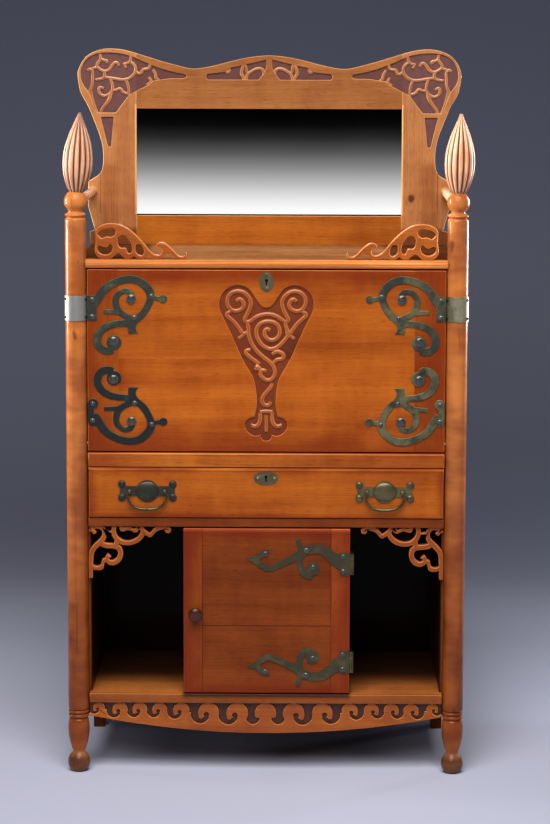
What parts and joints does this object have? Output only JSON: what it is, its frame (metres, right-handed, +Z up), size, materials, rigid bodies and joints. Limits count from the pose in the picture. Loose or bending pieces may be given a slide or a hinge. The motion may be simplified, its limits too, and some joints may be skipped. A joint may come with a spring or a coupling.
{
  "type": "drop front desk",
  "caption": "Drop-front writing desk with turned posts, a carved fall that folds down to write on, a drawer, open compartments, a cupboard and a carved mirror back.",
  "frame": {"origin": "floor level under the middle of the desk's overall box", "axes": "+X to the right seen from the front, the front faces -Y, +Z up"},
  "size_m": [0.916, 0.431, 1.63],
  "materials": {
    "case_wood": "satin varnish over orange-brown figured hardwood",
    "turned_wood": "polished turned hardwood",
    "carved_wood": "carved hardwood, darker in the ground",
    "inner_wood": "plain planed softwood",
    "bronze": "dark green-brown patina",
    "stay_brass": "dull brass",
    "lock_iron": "dark iron",
    "mirror": "silvered plate glass"
  },
  "bodies": {
    "case": {"left_post": "turned_wood", "right_post": "turned_wood", "finials": "turned_wood", "gallery_rods": "turned_wood", "rear_legs": "case_wood", "left_side_board": "case_wood", "right_side_board": "case_wood", "case_top": "case_wood", "desk_floor": "case_wood", "writing_bed": "inner_wood", "drawer_board": "case_wood", "bottom_shelf": "case_wood", "left_divider": "case_wood", "right_divider": "case_wood", "back_panel": "inner_wood", "apron": "carved_wood", "compartment_brackets": "carved_wood", "gallery_brackets": "carved_wood", "mirror_left_stile": "case_wood", "mirror_right_stile": "case_wood", "mirror_crest_rail": "case_wood", "mirror_bottom_rail": "case_wood", "mirror_glass": "mirror", "mirror_back_panel": "inner_wood", "post_bands": "bronze", "pigeonhole_shelves": "inner_wood", "pigeonhole_uprights": "inner_wood", "stay_guides": "stay_brass", "door_hinge_leaves": "bronze"},
    "fall": {"fall_upper_board": "case_wood", "fall_lower_board": "case_wood", "fall_left_cleat": "case_wood", "fall_right_cleat": "case_wood", "upper_fall_mounts": "bronze", "lower_fall_mounts": "bronze", "fall_mount_screws": "bronze", "fall_escutcheon": "bronze", "fall_lock": "lock_iron", "fall_pivot_pins": "lock_iron", "quadrant_stays": "stay_brass"},
    "fall_bolt": {"fall_lock_bolt": "lock_iron"},
    "drawer": {"drawer_front": "case_wood", "drawer_left_side": "inner_wood", "drawer_right_side": "inner_wood", "drawer_back": "inner_wood", "drawer_bottom": "inner_wood", "drawer_pull_plates": "bronze", "drawer_escutcheon": "bronze", "drawer_lock": "lock_iron"},
    "drawer_bolt": {"drawer_lock_bolt": "lock_iron"},
    "left_handle": {"left_bail": "bronze"},
    "right_handle": {"right_bail": "bronze"},
    "door": {"door_upper_board": "case_wood", "door_lower_board": "case_wood", "door_left_cleat": "case_wood", "door_right_cleat": "case_wood", "door_strap_hinges": "bronze", "door_screws": "bronze"},
    "knob": {"door_knob": "turned_wood", "door_latch": "lock_iron"}
  },
  "joints": [
    {"name": "fall_hinge", "type": "hinge", "parent": "case", "child": "fall", "pos_m": [0, -0.1795, 0.7545], "axis": [1, 0, 0], "range_deg": [0, 90]},
    {"name": "fall_bolt_slide", "type": "slide", "parent": "fall", "child": "fall_bolt", "axis": [0, 0, 1], "range_m": [0, 0.008]},
    {"name": "drawer_slide", "type": "slide", "parent": "case", "child": "drawer", "axis": [0, -1, 0], "range_m": [0, 0.3]},
    {"name": "drawer_bolt_slide", "type": "slide", "parent": "drawer", "child": "drawer_bolt", "axis": [0, 0, 1], "range_m": [0, 0.008]},
    {"name": "left_bail_swing", "type": "hinge", "parent": "drawer", "child": "left_handle", "pos_m": [-0.266, -0.1999, 0.649], "axis": [-1, 0, 0], "range_deg": [0, 90]},
    {"name": "right_bail_swing", "type": "hinge", "parent": "drawer", "child": "right_handle", "pos_m": [0.266, -0.1999, 0.649], "axis": [-1, 0, 0], "range_deg": [0, 90]},
    {"name": "door_hinge", "type": "hinge", "parent": "case", "child": "door", "pos_m": [0.194, -0.1917, 0.369], "axis": [0, 0, 1], "range_deg": [0, 120]},
    {"name": "knob_turn", "type": "hinge", "parent": "door", "child": "knob", "pos_m": [-0.158, -0.1905, 0.369], "axis": [0, 1, 0], "range_deg": [0, 90]}
  ]
}
